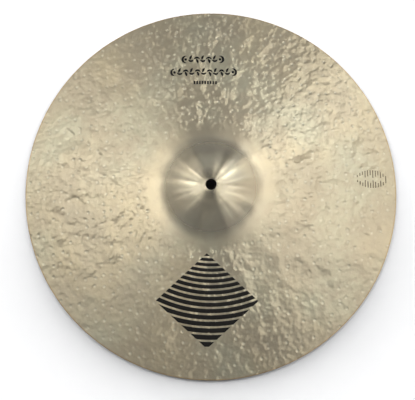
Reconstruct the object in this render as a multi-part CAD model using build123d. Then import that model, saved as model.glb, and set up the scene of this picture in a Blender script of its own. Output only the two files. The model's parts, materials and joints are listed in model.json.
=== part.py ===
from build123d import *
import math
import os

# An 18 inch crash cymbal: one hammered bronze plate of bell, bow and rim with a hole for the stand,
# and the ink marks printed on its upper face. Millimetres. The cymbal lies on its rim, bell up:
# +Z is the axis of the hole, and the origin is the centre of the circle that the rim rests on.

# Driving dimensions of the plate
cymbal_diameter = 457.2
hole_diameter = 12.7
bell_apex_height = 46.0
bow_radius = 970.0
bell_radius = 98.0
bell_fillet = 24.0
bell_thickness = 1.10
rim_thickness = 0.66
rim_rounding = 0.22
hole_chamfer = 0.15

# Driving dimensions of the printed ink
ink_thickness = 0.10
ink_cutter_height = 60.0

emblem_centre = (-5.0, -135.0)
emblem_half_width = 61.0
emblem_half_height = 56.0
emblem_bars = 16
emblem_gap = 2.4
emblem_first_bar = 3.4
emblem_last_bar = 5.8

outer_vine_centre = (-10.0, 162.5)
outer_vine_bends = 5
inner_vine_centre = (-9.0, 145.0)
inner_vine_bends = 9
bend_pitch = 7.4
bend_gap = 0.6
bend_rise = 2.5
bend_width = 2.6
leaf_length = 6.4
leaf_slant = 2.6
leaf_gap = 0.8
leaf_bow = 0.6
leaf_width = 2.8
curl_height = 9.5
curl_depth = 5.6
curl_width = 3.0
curl_gap = 1.2
bud_radius = 1.7

ticks_centre = (-7.0, 131.0)
tick_count = 9
tick_pitch = 3.3
tick_size = (2.1, 4.4)

rim_radius = cymbal_diameter / 2
hole_radius = hole_diameter / 2


def centre_below(radius, r, z):
    """Height on the axis of the centre of the circle of that radius which passes through (r, z)."""
    return z - math.sqrt(radius**2 - r**2)


def height_on(radius, centre_z, r):
    """Height of a circle centred on the axis, at the distance r from the axis."""
    return centre_z + math.sqrt(radius**2 - r**2)


def bell_foot(bow, bow_z, bell, bell_z, fillet):
    """The fillet between bell and bow: its two tangent points and a point between them."""
    to_bow, to_bell = bow + fillet, bell + fillet
    z = (to_bow**2 - to_bell**2 + bell_z**2 - bow_z**2) / (2 * (bell_z - bow_z))
    r = math.sqrt(to_bow**2 - (z - bow_z) ** 2)
    on_bell = (r * bell / to_bell, bell_z + (z - bell_z) * bell / to_bell)
    on_bow = (r * bow / to_bow, bow_z + (z - bow_z) * bow / to_bow)
    towards = (on_bell[0] + on_bow[0] - 2 * r, on_bell[1] + on_bow[1] - 2 * z)
    scale = fillet / math.hypot(*towards)
    return on_bell, (r + towards[0] * scale, z + towards[1] * scale), on_bow


def point(r, z):
    """A point of the profile, which lies in the XZ plane."""
    return Vector(r, 0, z)


def face_edges(bow, bow_z, bell, bell_z, fillet):
    """One face of the plate from hole to rim: an arc for the bell, one for its foot, one for the bow."""
    on_bell, between, on_bow = bell_foot(bow, bow_z, bell, bell_z, fillet)

    def arc(radius, centre_z, r0, r1):
        ends_and_middle = (r0, (r0 + r1) / 2, r1)
        return ThreePointArc(*(point(r, height_on(radius, centre_z, r)) for r in ends_and_middle))

    return [
        arc(bell, bell_z, hole_radius, on_bell[0]),
        ThreePointArc(point(*on_bell), point(*between), point(*on_bow)),
        arc(bow, bow_z, on_bow[0], rim_radius),
    ]


# The upper face: the bell's and the bow's spheres are centred on the axis.
rim_slope = math.asin(rim_radius / bow_radius)
rim_height = rim_thickness / math.cos(rim_slope)
bow_centre_z = centre_below(bow_radius, rim_radius, rim_height)
bell_centre_z = bell_apex_height - bell_radius
foot = bell_foot(bow_radius, bow_centre_z, bell_radius, bell_centre_z, bell_fillet)
foot_radius, foot_height = foot[2]

# The lower face: the plate thins from the bell's foot to the rim, so its bow has its own centre.
inner_foot_height = foot_height - bell_thickness
inner_bow_centre_z = (inner_foot_height**2 + foot_radius**2 - rim_radius**2) / (2 * inner_foot_height)
inner_bow_radius = math.hypot(rim_radius, inner_bow_centre_z)
inner_bell_radius = bell_radius - bell_thickness
inner_fillet = bell_fillet + bell_thickness


def make_plate():
    """The cymbal's single bronze plate, turned from its profile, with eased rim and hole edges."""
    upper = face_edges(bow_radius, bow_centre_z, bell_radius, bell_centre_z, bell_fillet)
    lower = face_edges(inner_bow_radius, inner_bow_centre_z, inner_bell_radius, bell_centre_z, inner_fillet)
    hole_wall = Line(lower[0] @ 0, upper[0] @ 0)
    rim_wall = Line(lower[2] @ 1, upper[2] @ 1)
    profile = make_face([*upper, rim_wall, *lower, hole_wall])
    plate = revolve(profile, axis=Axis.Z)
    circles = plate.edges().filter_by(GeomType.CIRCLE)
    rim_edges = circles.filter_by(lambda edge: edge.radius > rim_radius - 0.01)
    plate = fillet(rim_edges, rim_rounding)
    circles = plate.edges().filter_by(GeomType.CIRCLE)
    hole_edges = circles.filter_by(lambda edge: edge.radius < hole_radius + 0.01)
    return chamfer(hole_edges, hole_chamfer)


def ink_film():
    """The thin layer on the bow's upper face that every print is cut from."""
    outside = Sphere(bow_radius + ink_thickness)
    inside = Sphere(bow_radius)
    return Pos(0, 0, bow_centre_z) * (outside - inside)


def print_on_bow(film, outline):
    """The ink that an outline drawn in the XY plane leaves on the bow."""
    return film & extrude(outline, ink_cutter_height)


def emblem_outlines():
    """Curved bars round the hole's axis, cut to a rhombus, each a little thicker than the one inside it."""
    x, y = emblem_centre
    rhombus = make_face(
        Polyline(
            (x, y - emblem_half_height),
            (x + emblem_half_width, y),
            (x, y + emblem_half_height),
            (x - emblem_half_width, y),
            close=True,
        )
    )
    inner = -y - emblem_half_height
    steps = emblem_bars - 1
    bars = []
    for i in range(emblem_bars):
        thickness = emblem_first_bar + (emblem_last_bar - emblem_first_bar) * i / steps
        bars.append((Circle(inner + thickness) - Circle(inner)) & rhombus)
        inner += thickness + emblem_gap
    return bars


def stroke(x0, y0, x1, y1, bulge, width):
    """A pen stroke between two points: two arcs that leave it thin at its ends and widest at its middle."""
    start, end = Vector(x0, y0), Vector(x1, y1)
    across = (end - start).rotate(Axis.Z, 90).normalized()
    middle = (start + end) * 0.5 + across * bulge
    one_side = ThreePointArc(start, middle + across * (width / 2), end)
    other_side = ThreePointArc(start, middle - across * (width / 2), end)
    return make_face([one_side, other_side])


def vine(centre, bends):
    """A running vine: a wave of crescents, a leaf in each bend, and at each end a curl round a bud."""
    shapes = []
    crescent_end = (bend_pitch - bend_gap) / 2
    for i in range(bends):
        x = bend_pitch * (i - (bends - 1) / 2)
        up = 1 if i % 2 else -1
        shapes.append(stroke(x - crescent_end, 0, x + crescent_end, 0, up * bend_rise, bend_width))
        root = up * leaf_gap
        tip = root - up * leaf_length
        shapes.append(stroke(x - leaf_slant / 2, root, x + leaf_slant / 2, tip, leaf_bow, leaf_width))
    for side in (-1, 1):
        x = side * (bend_pitch * bends / 2 + curl_gap)
        shapes.append(stroke(x, -curl_height / 2, x, curl_height / 2, -side * curl_depth, curl_width))
        shapes.append(Pos(x + side * bud_radius, 0) * Circle(bud_radius))
    return [Pos(*centre) * shape for shape in shapes]


def tick_outlines():
    """A short row of ticks between the vines and the bell."""
    width, height = tick_size
    first_x = ticks_centre[0] - tick_pitch * (tick_count - 1) / 2
    tick = Rectangle(width, height)
    return [Pos(first_x + tick_pitch * i, ticks_centre[1]) * tick for i in range(tick_count)]


def save(node, shapes):
    """Writes one sub-part as parts/NODE.step."""
    solids = [solid for shape in shapes for solid in shape.solids()]
    shape = solids[0] if len(solids) == 1 else Compound(children=solids)
    export_step(shape, f"parts/{node}.step")
    volume = sum(solid.volume for solid in solids)
    print(f"{node}: {len(solids)} solids, {volume:.1f} mm3")


def main():
    os.makedirs("parts", exist_ok=True)
    film = ink_film()
    prints = {
        "emblem_print": emblem_outlines(),
        "outer_vine_print": vine(outer_vine_centre, outer_vine_bends),
        "inner_vine_print": vine(inner_vine_centre, inner_vine_bends),
        "tick_row_print": tick_outlines(),
    }
    save("cymbal_plate", [make_plate()])
    for node, outlines in prints.items():
        save(node, [print_on_bow(film, outline) for outline in outlines])
    print(f"bell foot: radius {foot_radius:.1f} mm, height {foot_height:.1f} mm")
    print(f"slope of the bow at the rim: {math.degrees(rim_slope):.1f} degrees")


main()
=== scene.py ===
"""An 18 inch crash cymbal on a pale studio floor: its hammered, lathed bronze plate and its printed ink."""

import json
import math

import bmesh
import bpy
import numpy as np
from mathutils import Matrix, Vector


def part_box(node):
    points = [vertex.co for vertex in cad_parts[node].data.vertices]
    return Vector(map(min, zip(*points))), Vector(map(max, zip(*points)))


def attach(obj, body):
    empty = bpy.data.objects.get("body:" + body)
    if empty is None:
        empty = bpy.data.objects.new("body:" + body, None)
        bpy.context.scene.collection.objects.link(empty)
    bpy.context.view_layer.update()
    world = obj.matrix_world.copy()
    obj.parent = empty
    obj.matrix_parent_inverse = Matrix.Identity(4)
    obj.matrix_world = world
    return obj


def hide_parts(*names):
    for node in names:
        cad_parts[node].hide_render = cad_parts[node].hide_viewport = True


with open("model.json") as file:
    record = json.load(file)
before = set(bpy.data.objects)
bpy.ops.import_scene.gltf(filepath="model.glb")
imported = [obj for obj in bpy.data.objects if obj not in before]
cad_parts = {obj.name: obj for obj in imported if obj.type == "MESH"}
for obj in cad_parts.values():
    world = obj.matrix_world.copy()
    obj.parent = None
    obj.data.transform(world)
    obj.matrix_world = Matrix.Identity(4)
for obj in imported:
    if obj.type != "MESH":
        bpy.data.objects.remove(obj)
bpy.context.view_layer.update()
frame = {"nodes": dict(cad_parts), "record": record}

MM = 0.001

# The plate's profile in millimetres: the spheres of bell and bow, the fillet between them, the thickness.
plate_low, plate_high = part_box("cymbal_plate")
RIM_RADIUS = plate_high.x / MM
HOLE_RADIUS = frame["record"]["mounts"][0]["dims"]["r_mm"]
BELL_APEX = 46.0
BOW_RADIUS = 970.0
BELL_RADIUS = 98.0
FOOT_FILLET = 24.0
BELL_THICKNESS = 1.10
RIM_THICKNESS = 0.66
EDGE_ROUNDING = 0.22
HOLE_CHAMFER = 0.15

# How finely the plate is meshed: the points in a ring, then the millimetres from ring to ring.
SEGMENTS = 960
BELL_STEP = 2.4
BOW_STEP = 1.4
LOWER_STEP = 6.0

# The last rings before the edge, as distances from the rim, and the band that they have to themselves.
EDGE_RINGS = (0.8, 0.45, EDGE_ROUNDING)
EDGE_BAND = 1.2

# Hammer marks in rings, in millimetres: the first and last ring's radius, the pitch, and the least and the
# greatest radius and depth of a mark. A negative depth is a rise.
PEEN_MARKS = {"first": 70, "last": 223, "pitch": 8.5, "size": (2.6, 4.0), "depth": (0.05, 0.26)}
BROAD_MARKS = {"first": 78, "last": 215, "pitch": 12.0, "size": (5.0, 9.0), "depth": (-0.12, 0.14)}
SLOW_WAVES = {"first": 92, "last": 205, "pitch": 24.0, "size": (12.0, 22.0), "depth": (-0.65, 0.75)}

# How far the rings' spacing and each mark's place vary, as shares of the pitch.
PITCH_SHARES = (0.85, 1.1)
PLACE_SHARE = 0.2
MARKS_SEED = 18

# The marks fade out towards the rim and towards the bell, in millimetres.
RIM_MARGIN = 1.0
RIM_FADE = 8
BELL_MARGIN = 68
BELL_FADE = 14

# Marks are added up for this many points of the mesh together.
POINTS_AT_ONCE = 2000

# The ink's faces above and below the hammered face, the height that tells them apart in the CAD solid, and
# its longest mesh edge, all in millimetres. The weld distance is in metres.
INK_RISE = 0.09
INK_SINK = 0.10
INK_MIDDLE = 0.04
INK_EDGE = 2.2
MOST_CUTS = 7
WELD_DISTANCE = 1e-6

# The hallmark pressed near the rim: a plain oval of short parallel strokes, parted along its middle.
# Its place, its half length and half height, and each stroke's size are in millimetres.
HALLMARK_X = 197.0
HALLMARK_Y = 12.5
HALLMARK_LONG = 20.0
HALLMARK_HIGH = 11.0
HALLMARK_STROKES = 12
HALLMARK_GAP = 1.6
STROKE_WIDTH = 1.1
STROKE_STEP = 1.5
STROKE_SINK = 0.12
STROKE_RISE = 0.04
SHORTEST_STROKE = 1.0


# ---------------------------------------------------------------- the plate's form


class Face:
    """The height of one face of the plate: the bell's sphere, the fillet at its foot, the bow's sphere."""

    def __init__(self, bow, bow_z, bell, bell_z, fillet):
        self.bow, self.bow_z, self.bell, self.bell_z, self.fillet = bow, bow_z, bell, bell_z, fillet
        to_bow, to_bell = bow + fillet, bell + fillet
        self.z = (to_bow**2 - to_bell**2 + bell_z**2 - bow_z**2) / (2 * (bell_z - bow_z))
        self.r = math.sqrt(to_bow**2 - (self.z - bow_z) ** 2)
        self.bell_end = self.r * bell / to_bell
        self.bow_start = self.r * bow / to_bow

    def height(self, r):
        on_bell = self.bell_z + np.sqrt(np.maximum(self.bell**2 - r**2, 0))
        on_fillet = self.z - np.sqrt(np.maximum(self.fillet**2 - (r - self.r) ** 2, 0))
        on_bow = self.bow_z + np.sqrt(self.bow**2 - r**2)
        return np.where(r < self.bell_end, on_bell, np.where(r < self.bow_start, on_fillet, on_bow))


def plate_faces():
    """The upper and lower faces. The plate thins from the bell's foot to the rim."""
    slope = math.asin(RIM_RADIUS / BOW_RADIUS)
    bow_z = RIM_THICKNESS / math.cos(slope) - math.sqrt(BOW_RADIUS**2 - RIM_RADIUS**2)
    bell_z = BELL_APEX - BELL_RADIUS
    upper = Face(BOW_RADIUS, bow_z, BELL_RADIUS, bell_z, FOOT_FILLET)
    foot = upper.bow_start
    inner_foot = float(upper.height(np.array(foot))) - BELL_THICKNESS
    inner_z = (inner_foot**2 + foot**2 - RIM_RADIUS**2) / (2 * inner_foot)
    inner_bow = math.hypot(RIM_RADIUS, inner_z)
    inner_fillet = FOOT_FILLET + BELL_THICKNESS
    lower = Face(inner_bow, inner_z, BELL_RADIUS - BELL_THICKNESS, bell_z, inner_fillet)
    return upper, lower


UPPER, LOWER = plate_faces()


def ring_of_marks(rng, first, last, pitch, size, depth):
    """Hammer marks in uneven rings round the hole: an array of x, y, radius and depth."""
    marks = []
    radius = first
    while radius < last:
        count = int(2 * math.pi * radius / pitch)
        angle = np.arange(count) * 2 * math.pi / count + rng.uniform(0, 2 * math.pi)
        angle = angle + rng.normal(0, PLACE_SHARE, count) * pitch / radius
        r = radius + rng.normal(0, PLACE_SHARE, count) * pitch
        a = rng.uniform(*size, count)
        d = depth[0] + (depth[1] - depth[0]) * rng.random(count) ** 2
        marks.append(np.stack([r * np.cos(angle), r * np.sin(angle), a, d], axis=1))
        radius += pitch * rng.uniform(*PITCH_SHARES)
    return np.concatenate(marks)


def make_marks():
    """Small peen marks, the broader marks of earlier hammering, and the plate's slow unevenness."""
    rng = np.random.default_rng(MARKS_SEED)
    return [ring_of_marks(rng, **marks) for marks in (PEEN_MARKS, BROAD_MARKS, SLOW_WAVES)]


MARKS = make_marks()


def dents(x, y):
    """How far hammering moves the sheet up, in millimetres, at points x, y. It is mostly a little down."""
    r = np.hypot(x, y)
    order = np.argsort(r)
    total = np.zeros(x.shape)
    for marks in MARKS:
        reach = marks[:, 2].max()
        mark_r = np.hypot(marks[:, 0], marks[:, 1])
        for part in np.array_split(order, max(1, len(order) // POINTS_AT_ONCE)):
            near = marks[(mark_r > r[part].min() - reach) & (mark_r < r[part].max() + reach)]
            if not len(near):
                continue
            rho = np.hypot(x[part, None] - near[:, 0], y[part, None] - near[:, 1]) / near[:, 2]
            bowl = np.clip(1 - rho**2, 0, None) ** 2
            total[part] -= (bowl * near[:, 3]).sum(axis=1)
    near_rim = np.clip((RIM_RADIUS - RIM_MARGIN - r) / RIM_FADE, 0, 1)
    near_bell = np.clip((r - BELL_MARGIN) / BELL_FADE, 0, 1)
    return total * (near_rim * near_bell)


def section():
    """The plate's closed outline as radii and heights, from the hole over the top, round the rim and back."""
    hole_edge = HOLE_RADIUS + HOLE_CHAMFER
    near_rim = [RIM_RADIUS - inset for inset in EDGE_RINGS]
    bell_r = np.arange(hole_edge, UPPER.bow_start, BELL_STEP)
    bow_r = np.arange(UPPER.bow_start, RIM_RADIUS - EDGE_BAND, BOW_STEP)
    upper_r = np.concatenate([bell_r, bow_r, near_rim])
    lower_r = np.append(np.arange(hole_edge, RIM_RADIUS - EDGE_BAND, LOWER_STEP), near_rim)[::-1]
    top = float(UPPER.height(np.array(RIM_RADIUS)))
    soft = EDGE_ROUNDING * (1 - math.sqrt(0.5))
    rim_r = np.array([RIM_RADIUS - soft, RIM_RADIUS, RIM_RADIUS, RIM_RADIUS - soft])
    rim_z = np.array([top - soft, top - EDGE_ROUNDING, EDGE_ROUNDING, soft])
    hole_low = float(LOWER.height(np.array(HOLE_RADIUS)))
    hole_top = float(UPPER.height(np.array(HOLE_RADIUS)))
    wall_z = np.array([hole_low + HOLE_CHAMFER, hole_top - HOLE_CHAMFER])
    wall_r = np.full(2, HOLE_RADIUS)
    r = np.concatenate([upper_r, rim_r, lower_r, wall_r])
    z = np.concatenate([UPPER.height(upper_r), rim_z, LOWER.height(lower_r), wall_z])
    return r, z


def new_object(name, verts, faces, material):
    """A smooth mesh object in the scene."""
    mesh = bpy.data.meshes.new(name)
    mesh.from_pydata(verts, [], faces)
    mesh.validate()
    mesh.shade_smooth()
    mesh.materials.append(material)
    obj = bpy.data.objects.new(name, mesh)
    bpy.context.scene.collection.objects.link(obj)
    return obj


def make_plate(material):
    """The hammered plate: its section turned about the hole, then moved by the hammer marks."""
    r, z = section()
    angle = np.arange(SEGMENTS) * 2 * math.pi / SEGMENTS
    x = np.outer(r, np.cos(angle)).ravel()
    y = np.outer(r, np.sin(angle)).ravel()
    height = np.repeat(z, SEGMENTS) + dents(x, y)
    verts = np.stack([x, y, height], axis=1) * MM
    ring = np.arange(len(r))[:, None] * SEGMENTS
    after = ((np.arange(len(r)) + 1) % len(r))[:, None] * SEGMENTS
    here = np.arange(SEGMENTS)[None, :]
    beside = (here + 1) % SEGMENTS
    faces = np.stack([ring + here, after + here, after + beside, ring + beside], axis=-1).reshape(-1, 4)
    return new_object("hammered_plate", verts.tolist(), faces.tolist(), material)


def make_print(node, material):
    """The ink of one printed mark, laid on the hammered face: the CAD outline, meshed finely and draped."""
    mesh = frame["nodes"][node].data.copy()
    form = bmesh.new()
    form.from_mesh(mesh)
    bmesh.ops.remove_doubles(form, verts=form.verts, dist=WELD_DISTANCE)
    for _ in range(MOST_CUTS):
        long_edges = [e for e in form.edges if e.calc_length() > INK_EDGE * MM]
        if not long_edges:
            break
        bmesh.ops.subdivide_edges(form, edges=long_edges, cuts=1)
        bmesh.ops.triangulate(form, faces=[f for f in form.faces if len(f.verts) > 4])
    x = np.array([v.co.x for v in form.verts]) / MM
    y = np.array([v.co.y for v in form.verts]) / MM
    bow = UPPER.height(np.hypot(x, y))
    moved = dents(x, y)
    for v, face_z, dent in zip(form.verts, bow, moved):
        is_top = v.co.z / MM > face_z + INK_MIDDLE
        v.co.z = (face_z + dent + (INK_RISE if is_top else -INK_SINK)) * MM
    form.to_mesh(mesh)
    form.free()
    mesh.materials.clear()
    mesh.materials.append(material)
    piece = bpy.data.objects.new(node.replace("_print", "_ink"), mesh)
    bpy.context.scene.collection.objects.link(piece)
    return piece


def stroke_spans():
    """Each stroke's place along the oval, and where it starts and ends across it, in millimetres."""
    spans = []
    for i in range(HALLMARK_STROKES):
        u = -1 + (2 * i + 1) / HALLMARK_STROKES
        half = HALLMARK_HIGH * math.sqrt(1 - u**2)
        gap = HALLMARK_GAP * (1 + i % 3)
        if half < gap + SHORTEST_STROKE:
            spans.append((u * HALLMARK_LONG, -half, half))
        else:
            spans.append((u * HALLMARK_LONG, -half, -gap))
            spans.append((u * HALLMARK_LONG, gap, half))
    return spans


def make_hallmark(material):
    """The hallmark's strokes as thin dark bars set into the hammered face."""
    verts, faces = [], []
    for along, start, end in stroke_spans():
        steps = max(2, math.ceil((end - start) / STROKE_STEP))
        y = np.repeat(np.linspace(start, end, steps + 1), 4) + HALLMARK_Y
        x = np.tile([-0.5, 0.5, 0.5, -0.5], steps + 1) * STROKE_WIDTH + along + HALLMARK_X
        lift = np.tile([-STROKE_SINK, -STROKE_SINK, STROKE_RISE, STROKE_RISE], steps + 1)
        z = UPPER.height(np.hypot(x, y)) + dents(x, y) + lift
        first = len(verts)
        verts.extend((np.stack([x, y, z], axis=1) * MM).tolist())
        for k in range(steps):
            a = first + 4 * k
            faces.extend([[a + j, a + 4 + j, a + 4 + (j + 1) % 4, a + (j + 1) % 4] for j in range(4)])
        last = first + 4 * steps
        faces.append([first, first + 1, first + 2, first + 3])
        faces.append([last + 3, last + 2, last + 1, last])
    piece = new_object("pressed_hallmark", verts, faces, material)
    form = bmesh.new()
    form.from_mesh(piece.data)
    bmesh.ops.recalc_face_normals(form, faces=form.faces)
    form.to_mesh(piece.data)
    form.free()
    return piece


# ---------------------------------------------------------------- materials

# Where the bronze's finish changes, in metres from the hole's axis.
# The ring round the hole is darkened partly as a felt stain, partly as painted shade for the dark reflection
# there.
FELT_STAIN_AND_SHADE_RING = (0.009, 0.022)
BELL_POLISH = (0.038, 0.074)
BELL_COLOUR = (0.050, 0.072)
HAMMERED_FROM = (0.066, 0.085)
RIM_TINT = ((RIM_RADIUS - 2.0) * MM, (RIM_RADIUS - 0.4) * MM)

# The bronze's colours.
HONEY = (0.75, 0.65, 0.46)
OLIVE = (0.71, 0.67, 0.505)
CLOUD = (0.65, 0.57, 0.425)
BROWN = (0.60, 0.50, 0.37)
GROOVE_GREY = (0.60, 0.53, 0.41)
# A painted glint: the pale colour laid in the peen pits stands in for the highlights they catch.
PAINTED_PIT_GLINT = (0.98, 0.93, 0.78)
BRASSY = (0.62, 0.46, 0.26)
BELL_GREY = (0.42, 0.44, 0.43)
# Partly a felt stain, partly painted shade for the dark reflection round the hole.
FELT_STAIN_AND_PAINTED_SHADE = (0.06, 0.055, 0.045)
TARNISH_DEEP = (0.17, 0.14, 0.10)
TARNISH_THIN = (0.30, 0.25, 0.17)

# The ink's and the floor's colours.
INK_BLACK = (0.010, 0.009, 0.008)
INK_WORN = (0.13, 0.115, 0.09)
FLOOR_SHADE = (0.90, 0.90, 0.905)
FLOOR_LIGHT = (0.92, 0.92, 0.92)

# Pattern sizes, in repeats to the metre.
GROOVES = 700.0
LATHE_BANDS = 130.0
PITS = 96.0
WRINKLES = 105.0

# Heights of the bronze's relief in metres.
PIT_DEPTH = 0.00032
WRINKLE_HEIGHT = 0.0010
GROOVE_HEIGHT = 0.00008


class Nodes:
    """A few short calls for building a node tree."""

    def __init__(self, tree):
        self.tree = tree

    def add(self, kind, **settings):
        node = self.tree.nodes.new(kind)
        for key, value in settings.items():
            setattr(node, key, value)
        return node

    def link(self, source, target):
        self.tree.links.new(source, target)

    def put(self, socket, value):
        """Feeds a socket from another one, or gives it a constant."""
        if isinstance(value, bpy.types.NodeSocket):
            self.link(value, socket)
        else:
            socket.default_value = value

    def math(self, operation, a, b):
        node = self.add("ShaderNodeMath", operation=operation)
        self.put(node.inputs[0], a)
        self.put(node.inputs[1], b)
        return node.outputs[0]

    def vector(self, operation, a, b):
        node = self.add("ShaderNodeVectorMath", operation=operation)
        self.put(node.inputs[0], a)
        self.put(node.inputs[1], b)
        return node.outputs[0]

    def noise(self, vector, scale, detail=2.0, roughness=0.5):
        node = self.add("ShaderNodeTexNoise")
        self.put(node.inputs["Vector"], vector)
        node.inputs["Scale"].default_value = scale
        node.inputs["Detail"].default_value = detail
        node.inputs["Roughness"].default_value = roughness
        return node.outputs[0]

    def band(self, value, low, high, out_low=0.0, out_high=1.0, smooth=True):
        """Takes the value from out_low to out_high as it goes from low to high."""
        node = self.add("ShaderNodeMapRange", interpolation_type="SMOOTHSTEP" if smooth else "LINEAR")
        self.put(node.inputs["Value"], value)
        self.put(node.inputs["From Min"], low)
        self.put(node.inputs["From Max"], high)
        self.put(node.inputs["To Min"], out_low)
        self.put(node.inputs["To Max"], out_high)
        return node.outputs["Result"]

    def mix(self, factor, a, b):
        node = self.add("ShaderNodeMix", data_type="RGBA")
        self.put(node.inputs["Factor"], factor)
        self.put(node.inputs[6], a if isinstance(a, bpy.types.NodeSocket) else (*a, 1.0))
        self.put(node.inputs[7], b if isinstance(b, bpy.types.NodeSocket) else (*b, 1.0))
        return node.outputs[2]

    def pits(self, vector, scale, size):
        """Round pits scattered over the XY plane, of uneven depth: 1 in the deepest middle, 0 between."""
        node = self.add("ShaderNodeTexVoronoi", voronoi_dimensions="2D")
        self.put(node.inputs["Vector"], vector)
        node.inputs["Scale"].default_value = scale
        node.inputs["Randomness"].default_value = 0.9
        split = self.add("ShaderNodeSeparateColor")
        self.link(node.outputs["Color"], split.inputs[0])
        pit = self.band(node.outputs["Distance"], 0.0, size, 1.0, 0.0)
        return self.math("MULTIPLY", pit, self.band(split.outputs[0], 0.1, 0.9, 0.1, 1.0, smooth=False))

    def bump(self, height, strength, distance, normal=None):
        node = self.add("ShaderNodeBump")
        self.put(node.inputs["Height"], height)
        node.inputs["Strength"].default_value = strength
        node.inputs["Distance"].default_value = distance
        if normal is not None:
            self.link(normal, node.inputs["Normal"])
        return node.outputs[0]


def new_material(name):
    """A material, its nodes and its shader."""
    material = bpy.data.materials.new(name)
    material.use_nodes = True
    return material, Nodes(material.node_tree), material.node_tree.nodes["Principled BSDF"]


def rings(n, outward, radius, scale, drift):
    """A vector that changes with the distance from the hole, and only slowly round it."""
    along = n.add("ShaderNodeCombineXYZ")
    n.put(along.inputs[2], n.math("MULTIPLY", radius, scale))
    return n.vector("ADD", n.vector("MULTIPLY", outward, (drift, drift, 0)), along.outputs[0])


def bronze():
    """Hammered, lathed bell bronze with a dull old finish."""
    material, n, shader = new_material("hammered_bronze")
    place = n.add("ShaderNodeTexCoord").outputs["Object"]
    flat = n.vector("MULTIPLY", place, (1, 1, 0))
    length = n.add("ShaderNodeVectorMath", operation="LENGTH")
    n.link(flat, length.inputs[0])
    radius = length.outputs["Value"]
    outward = n.add("ShaderNodeVectorMath", operation="NORMALIZE")
    n.link(flat, outward.inputs[0])
    hammered = n.band(radius, *HAMMERED_FROM)
    pits = n.math("MULTIPLY", n.pits(place, PITS, 0.28), hammered)
    mottle = n.noise(place, 110.0, detail=4.0, roughness=0.65)

    # patina: slow changes of hue, cloudy mottling, and rings left by the lathe
    hue = n.noise(place, 9.0, detail=2.0)
    clouds = n.noise(place, 14.0, detail=3.0, roughness=0.55)
    lathe_bands = n.noise(rings(n, outward.outputs[0], radius, LATHE_BANDS, 0.8), 1.0, detail=1.0)
    colour = n.mix(n.band(hue, 0.40, 0.62), HONEY, OLIVE)
    colour = n.mix(n.band(clouds, 0.35, 0.7), colour, CLOUD)
    colour = n.mix(n.band(mottle, 0.45, 0.75, 0.0, 0.45), colour, BROWN)
    colour = n.mix(n.band(lathe_bands, 0.35, 0.7, 0.0, 0.18), colour, GROOVE_GREY)

    # a painted glint in the pits where the peen struck, a brassy rim, a greyer bell, and round the hole a
    # felt stain darkened further as painted shade for the dark reflection there
    # painted glint: the pits are lightened to stand in for their highlights
    colour = n.mix(n.math("MULTIPLY", pits, 0.5), colour, PAINTED_PIT_GLINT)
    colour = n.mix(n.band(radius, *RIM_TINT), colour, BRASSY)
    colour = n.mix(n.band(radius, *BELL_COLOUR, 0.17, 0.0), colour, BELL_GREY)
    # the hole's surround darkened: partly felt stain, partly painted shade for the dark reflection there
    colour = n.mix(n.band(radius, *FELT_STAIN_AND_SHADE_RING, 0.40, 0.0), colour, FELT_STAIN_AND_PAINTED_SHADE)
    n.link(colour, shader.inputs["Base Color"])

    # the bell is polished brighter than the bow, and only the bow's finish is patchy
    polish = n.band(radius, *BELL_POLISH, 0.22, 0.345)
    patches = n.math("MULTIPLY", n.band(mottle, 0.3, 0.7, -0.01, 0.04), hammered)
    n.link(n.math("ADD", polish, patches), shader.inputs["Roughness"])

    # relief: pits left by the peen, the wrinkled skin between them, then the lathe's grooves
    wrinkles = n.noise(place, WRINKLES, detail=1.5, roughness=0.5)
    grooves = n.noise(rings(n, outward.outputs[0], radius, GROOVES, 1.6), 1.0, detail=3.0, roughness=0.6)
    normal = n.bump(pits, 1.0, -PIT_DEPTH)
    normal = n.bump(n.math("MULTIPLY", wrinkles, hammered), 1.0, WRINKLE_HEIGHT, normal)
    normal = n.bump(grooves, 0.35, GROOVE_HEIGHT, normal)
    n.link(normal, shader.inputs["Normal"])

    # the grooves run round the hole, so reflections spread away from it
    tangent = n.add("ShaderNodeTangent", direction_type="RADIAL", axis="Z")
    n.link(tangent.outputs[0], shader.inputs["Tangent"])
    shader.inputs["Anisotropic"].default_value = 1.0
    shader.inputs["Anisotropic Rotation"].default_value = 0.25
    shader.inputs["Metallic"].default_value = 1.0
    return material


def ink():
    """Screen-printed black ink, worn thin in places so that the bronze shows through."""
    material, n, shader = new_material("printed_ink")
    place = n.add("ShaderNodeTexCoord").outputs["Object"]
    wear = n.noise(place, 160.0, detail=5.0, roughness=0.7)
    grain = n.noise(place, 900.0, detail=2.0)
    colour = n.mix(n.band(wear, 0.60, 0.78, 0.0, 0.6), INK_BLACK, INK_WORN)
    n.link(colour, shader.inputs["Base Color"])
    n.link(n.band(grain, 0.3, 0.7, 0.42, 0.58), shader.inputs["Roughness"])
    n.link(n.bump(grain, 0.25, 0.00005), shader.inputs["Normal"])
    shader.inputs["Specular IOR Level"].default_value = 0.3
    return material


def tarnish():
    """Bronze left dark and dull at the bottom of the pressed strokes."""
    material, n, shader = new_material("tarnished_bronze")
    place = n.add("ShaderNodeTexCoord").outputs["Object"]
    stain = n.noise(place, 300.0, detail=3.0, roughness=0.6)
    colour = n.mix(n.band(stain, 0.35, 0.65), TARNISH_DEEP, TARNISH_THIN)
    n.link(colour, shader.inputs["Base Color"])
    n.link(n.band(stain, 0.3, 0.7, 0.5, 0.65), shader.inputs["Roughness"])
    n.link(n.bump(stain, 0.3, 0.00005), shader.inputs["Normal"])
    shader.inputs["Metallic"].default_value = 0.7
    return material


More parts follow.
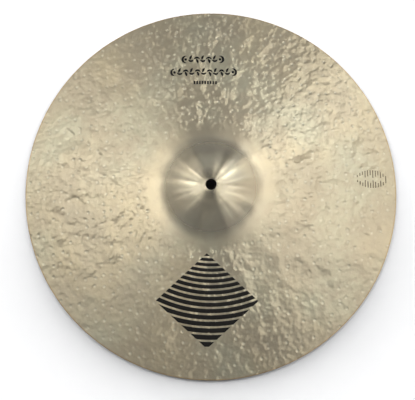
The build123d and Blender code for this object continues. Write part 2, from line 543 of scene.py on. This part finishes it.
def studio_floor():
    """Matt pale board with a faint grain."""
    material, n, shader = new_material("studio_floor")
    place = n.add("ShaderNodeTexCoord").outputs["Object"]
    grain = n.noise(place, 60.0, detail=3.0)
    colour = n.mix(grain, FLOOR_SHADE, FLOOR_LIGHT)
    n.link(colour, shader.inputs["Base Color"])
    shader.inputs["Roughness"].default_value = 0.9
    shader.inputs["Specular IOR Level"].default_value = 0.1
    return material


# ---------------------------------------------------------------- studio

# The floor's radius and its gap under the rim, the lights' distance, all in metres, and the room's dim glow.
BACKDROP_RADIUS = 15.0
FLOOR_GAP = 0.0001
LIGHT_DISTANCE = 2.2
ROOM = (0.152, 0.154, 0.158)

# The lights' colours.
PLAIN = (1.0, 0.98, 0.91)
WARM = (1.0, 0.92, 0.80)
COOL = (0.94, 1.0, 1.02)

# Narrow tubes overhead: azimuth from +X towards +Y, width in metres, brightness.
TUBE_ELEVATION = 67
TUBE_HEIGHT = 1.3
TUBES = [
    (342, 0.03, 3.4),
    (354, 0.05, 4.6),
    (10, 0.06, 4.4),
    (27, 0.05, 3.4),
    (45, 0.13, 4.6),
    (61, 0.20, 2.4),
    (78, 0.20, 0.7),
    (118, 0.14, 0.5),
    (131, 0.09, 4.0),
    (144, 0.03, 3.0),
    (158, 0.10, 5.6),
    (176, 0.04, 3.6),
    (188, 0.04, 3.4),
    (214, 0.10, 0.6),
    (312, 0.03, 2.4),
    (330, 0.20, 0.7),
]

# Wide boxes round the cymbal: azimuth, elevation, width and height in metres, brightness, colour.
BOXES = [
    (0, 44, 1.1, 0.85, 0.55, WARM),
    (40, 44, 1.1, 0.85, 0.85, COOL),
    (90, 46, 1.1, 0.85, 0.38, COOL),
    (130, 44, 1.1, 0.85, 0.55, PLAIN),
    (160, 44, 1.1, 0.85, 0.45, PLAIN),
    (195, 44, 1.1, 0.85, 0.22, WARM),
    (225, 44, 1.1, 0.85, 0.12, COOL),
    (270, 48, 1.1, 0.85, 0.16, PLAIN),
    (315, 44, 1.1, 0.85, 0.45, PLAIN),
    (340, 44, 1.1, 0.85, 0.35, WARM),
    (16, 20, 2.6, 0.8, 0.85, WARM),
    (150, 22, 1.4, 0.6, 0.3, PLAIN),
]

# Low soft suns behind the cymbal, in degrees, which light only the floor.
SUN_AZIMUTHS = range(20, 161, 14)
SUN_ELEVATION = 8.5
SUN_STRENGTH = 1.95
SUN_ANGLE = 7.0

# The camera looks down from the emblem's side: its distance from the point that it aims at and the width
# that it sees there, in metres, its tilt in degrees, and its sensor in millimetres.
CAMERA_DISTANCE = 0.78
CAMERA_TILT = 7.5
FRAME_WIDTH = 0.5115
SENSOR = 36.0
AIM = (-0.0042, -0.0124, 0.0)


def make_floor(material):
    """A round floor just under the rim, out to the wall."""
    bpy.ops.mesh.primitive_circle_add(vertices=128, radius=BACKDROP_RADIUS, fill_type="NGON")
    floor = bpy.context.object
    floor.name = "floor"
    floor.location.z = plate_low.z - FLOOR_GAP
    floor.data.materials.append(material)
    return floor


def make_backdrop():
    """A white wall all round, far off, which the camera sees and the bronze doesn't."""
    material = bpy.data.materials.new("backdrop")
    material.use_nodes = True
    n = Nodes(material.node_tree)
    n.tree.nodes.clear()
    glow = n.add("ShaderNodeEmission")
    glow.inputs["Color"].default_value = (1.0, 1.0, 1.0, 1.0)
    n.link(glow.outputs[0], n.add("ShaderNodeOutputMaterial").inputs[0])
    bpy.ops.mesh.primitive_cylinder_add(
        vertices=128, radius=BACKDROP_RADIUS, depth=BACKDROP_RADIUS * 2, end_fill_type="NOTHING"
    )
    backdrop = bpy.context.object
    backdrop.name = "backdrop"
    backdrop.data.materials.append(material)
    backdrop.visible_glossy = False
    backdrop.visible_diffuse = False
    backdrop.visible_shadow = False


def make_world():
    world = bpy.data.worlds.new("studio")
    bpy.context.scene.world = world
    world.use_nodes = True
    world.node_tree.nodes["Background"].inputs["Color"].default_value = (*ROOM, 1.0)


def place_light(name, data, azimuth, elevation):
    """Puts a light at that azimuth, from +X towards +Y, and elevation, facing the cymbal."""
    light = bpy.data.objects.new(name, data)
    a, e = math.radians(azimuth), math.radians(elevation)
    towards = Vector((math.cos(a) * math.cos(e), math.sin(a) * math.cos(e), math.sin(e)))
    light.location = towards * LIGHT_DISTANCE
    light.rotation_mode = "QUATERNION"
    light.rotation_quaternion = towards.to_track_quat("Z", "Y")
    light.visible_camera = False
    bpy.context.scene.collection.objects.link(light)
    return light


def softbox(name, azimuth, elevation, width, height, radiance, colour, cymbal_only):
    """A soft box of that size in metres and that brightness, flagged off the floor."""
    data = bpy.data.lights.new(name, "AREA")
    data.shape = "RECTANGLE"
    data.size, data.size_y = width, height
    data.energy = radiance * width * height * math.pi
    data.color = colour
    light = place_light(name, data, azimuth, elevation)
    light.light_linking.receiver_collection = cymbal_only


def floor_sun(name, azimuth, floor_only):
    """A soft sun that lights only the floor, where the cymbal throws its shadow."""
    data = bpy.data.lights.new(name, "SUN")
    data.energy = SUN_STRENGTH
    data.angle = math.radians(SUN_ANGLE)
    light = place_light(name, data, azimuth, SUN_ELEVATION)
    light.light_linking.receiver_collection = floor_only


def lit_group(name, objects):
    """A collection that lights can be limited to."""
    group = bpy.data.collections.new(name)
    for obj in objects:
        group.objects.link(obj)
    return group


def make_lights(floor, cymbal):
    cymbal_only = lit_group("lit_by_softboxes", cymbal)
    floor_only = lit_group("lit_by_floor_suns", [floor])
    for azimuth, width, radiance in TUBES:
        name = f"tube_{azimuth}"
        softbox(name, azimuth, TUBE_ELEVATION, width, TUBE_HEIGHT, radiance, PLAIN, cymbal_only)
    for azimuth, elevation, width, height, radiance, colour in BOXES:
        name = f"box_{azimuth}_{elevation}"
        softbox(name, azimuth, elevation, width, height, radiance, colour, cymbal_only)
    for azimuth in SUN_AZIMUTHS:
        floor_sun(f"floor_sun_{azimuth}", azimuth, floor_only)


def make_camera():
    data = bpy.data.cameras.new("camera")
    data.sensor_width = SENSOR
    data.lens = SENSOR * CAMERA_DISTANCE / FRAME_WIDTH
    camera = bpy.data.objects.new("camera", data)
    tilt = math.radians(CAMERA_TILT)
    back = Vector((0, -math.sin(tilt), math.cos(tilt)))
    camera.location = Vector(AIM) + back * CAMERA_DISTANCE
    camera.rotation_euler = (tilt, 0, 0)
    bpy.context.scene.collection.objects.link(camera)
    bpy.context.scene.camera = camera


# ---------------------------------------------------------------- assembly

bronze_material = bronze()
ink_material = ink()

plate = make_plate(bronze_material)
pieces = [plate]
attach(plate, "root")
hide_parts("cymbal_plate")

mark = make_hallmark(tarnish())
pieces.append(mark)
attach(mark, "root")

for node in ("emblem_print", "outer_vine_print", "inner_vine_print", "tick_row_print"):
    piece = make_print(node, ink_material)
    pieces.append(piece)
    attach(piece, "root")
    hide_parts(node)

floor = make_floor(studio_floor())
make_backdrop()
make_world()
make_lights(floor, pieces)
make_camera()
bpy.context.scene.view_settings.view_transform = "Standard"
